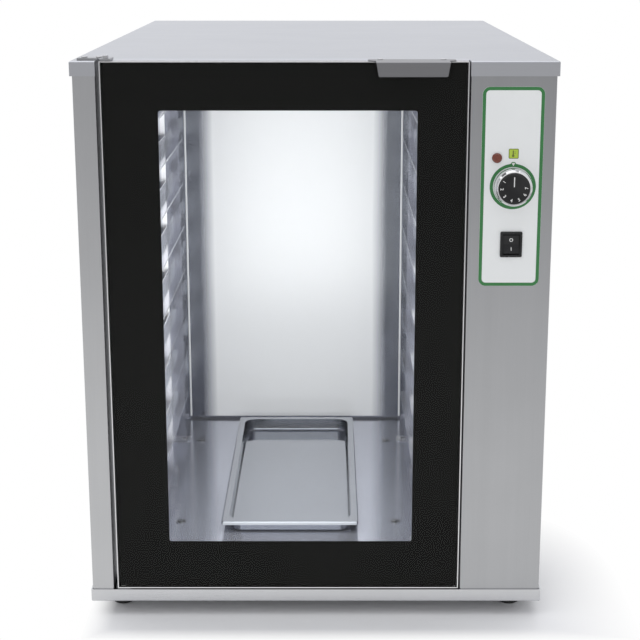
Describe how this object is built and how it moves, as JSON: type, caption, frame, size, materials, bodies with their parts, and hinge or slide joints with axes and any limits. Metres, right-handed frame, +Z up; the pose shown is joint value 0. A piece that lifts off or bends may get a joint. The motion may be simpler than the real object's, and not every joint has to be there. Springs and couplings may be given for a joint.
{
  "type": "countertop proofing cabinet",
  "caption": "Stainless countertop dough proofing cabinet with a hinged glass door, tray runners, water pan, thermostat knob and rocker switch.",
  "frame": {"origin": "centre of the whole object's footprint, on the surface that the feet stand on", "axes": "+X to the cabinet's right seen from the front, front faces -Y, +Z up"},
  "size_m": [0.59, 0.857, 0.7315],
  "materials": {
    "casing_steel": "brushed stainless sheet, satin",
    "liner_steel": "bright stainless liner sheet",
    "rack_steel": "polished stainless",
    "pan_steel": "drawn stainless, satin with a bright rim",
    "door_steel": "brushed stainless edge trim",
    "handle_steel": "brushed stainless",
    "hinge_steel": "dark zinc-plated steel",
    "screw_steel": "bright zinc-plated",
    "heater_steel": "heat-tinted sheath",
    "door_glass": "toughened, black border printed on the back",
    "knob_chrome": "bright metallised plastic",
    "black_plastic": "matt moulded plastic",
    "rocker_plastic": "satin moulded plastic",
    "lamp_lens": "translucent amber-red, unlit",
    "overlay_film": "pale printed film with a green border",
    "nylon": "natural nylon",
    "rubber": "matt black",
    "silicone": "grey silicone",
    "mineral_wool": "matt fibre slab",
    "terminal_plastic": "pale polyamide"
  },
  "bodies": {
    "cabinet": {"back_insulation": "mineral_wool", "base_tray": "casing_steel", "bay_partition": "casing_steel", "bulb_clips": "rack_steel", "cable_gland": "black_plastic", "chamber_back_wall": "liner_steel", "chamber_ceiling": "liner_steel", "chamber_floor": "liner_steel", "chamber_left_wall": "liner_steel", "chamber_right_wall": "liner_steel", "control_fascia": "casing_steel", "control_overlay": "overlay_film", "door_gasket": "silicone", "feet": "rubber", "floor_screws": "screw_steel", "floor_supports": "casing_steel", "foot_studs": "screw_steel", "front_surround": "casing_steel", "heater_clamps": "casing_steel", "heating_element": "heater_steel", "hinge_pins": "hinge_steel", "hinge_screws": "screw_steel", "lamp_body": "black_plastic", "lamp_lens": "lamp_lens", "left_insulation": "mineral_wool", "left_runners": "rack_steel", "left_side_panel": "casing_steel", "left_uprights": "rack_steel", "lower_hinge_bracket": "casing_steel", "magnetic_catch": "black_plastic", "rack_screws": "screw_steel", "rear_baffle": "liner_steel", "rear_panel": "casing_steel", "rear_screws": "screw_steel", "right_insulation": "mineral_wool", "right_runners": "rack_steel", "right_side_panel": "casing_steel", "right_uprights": "rack_steel", "switch_housing": "rocker_plastic", "terminal_block": "terminal_plastic", "thermostat_body": "terminal_plastic", "thermostat_capillary": "heater_steel", "top_cover": "casing_steel", "top_insulation": "mineral_wool", "upper_hinge_plate": "casing_steel"},
    "door": {"door_frame": "door_steel", "door_glass": "door_glass", "hinge_bushes": "nylon", "door_handle": "handle_steel", "handle_screws": "screw_steel", "strike_plate": "hinge_steel"},
    "thermostat_knob": {"knob": "black_plastic", "knob_ring": "knob_chrome", "thermostat_shaft": "heater_steel"},
    "switch_rocker": {"rocker": "rocker_plastic"},
    "pan": {"water_pan": "pan_steel"}
  },
  "joints": [
    {"name": "door_hinge", "type": "hinge", "parent": "cabinet", "child": "door", "pos_m": [-0.252, -0.3925, 0.3814], "axis": [0, 0, -1], "range_deg": [0, 100]},
    {"name": "knob_turn", "type": "hinge", "parent": "cabinet", "child": "thermostat_knob", "pos_m": [0.2418, -0.4101, 0.5724], "axis": [0, 1, 0], "range_deg": [0, 274]},
    {"name": "rocker_tilt", "type": "hinge", "parent": "cabinet", "child": "switch_rocker", "pos_m": [0.2418, -0.4001, 0.5], "axis": [1, 0, 0], "range_deg": [0, 16]},
    {"name": "pan_slide", "type": "slide", "parent": "cabinet", "child": "pan", "axis": [0, -1, 0], "range_m": [0, 0.12]}
  ]
}
